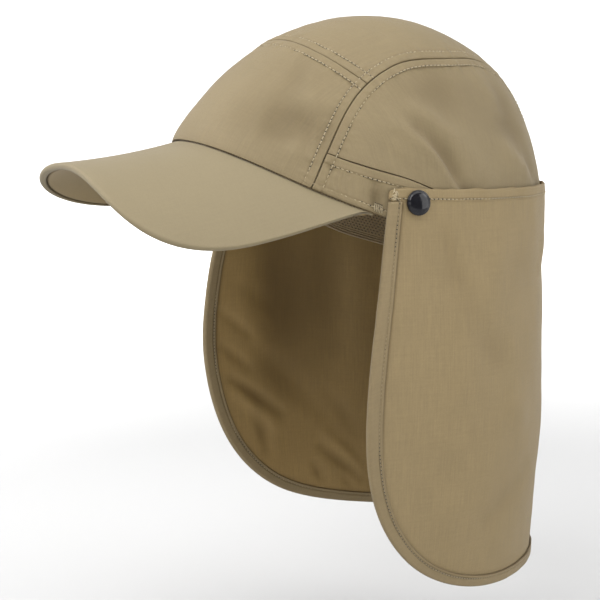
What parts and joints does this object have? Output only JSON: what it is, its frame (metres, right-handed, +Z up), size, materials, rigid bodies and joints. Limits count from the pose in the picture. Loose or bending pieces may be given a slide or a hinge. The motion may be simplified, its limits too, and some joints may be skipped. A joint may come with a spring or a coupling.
{
  "type": "sun cap with a long neck flap",
  "caption": "Panelled sun cap with a curved peak, a knitted sweatband and a long neck flap held at the temples by round snaps.",
  "frame": {"origin": "centre of the head opening, on the level where the front and the back of the rim balance", "axes": "+Z up on the wearer, the peak points along -Y, the wearer's left side is +X"},
  "size_m": [0.181, 0.2724, 0.2979],
  "materials": {
    "crown_cloth": "matt woven",
    "peak_cloth": "matt woven",
    "flap_cloth": "matt woven",
    "binding_tape": "matt folded tape",
    "sweatband_knit": "matt ribbed knit",
    "fastener_strip": "matt pile",
    "snap_enamel": "glossy enamel"
  },
  "bodies": {
    "root": {"front_panel": "crown_cloth", "top_panel": "crown_cloth", "side_panel_left": "crown_cloth", "side_panel_right": "crown_cloth", "lower_band": "crown_cloth", "peak": "peak_cloth", "peak_underside": "peak_cloth", "sweatband": "sweatband_knit", "neck_flap": "flap_cloth", "flap_binding": "binding_tape", "snap_cap_left": "snap_enamel", "snap_cap_right": "snap_enamel", "snap_stud_left": "snap_enamel", "snap_stud_right": "snap_enamel", "back_fastener": "fastener_strip"}
  },
  "joints": []
}
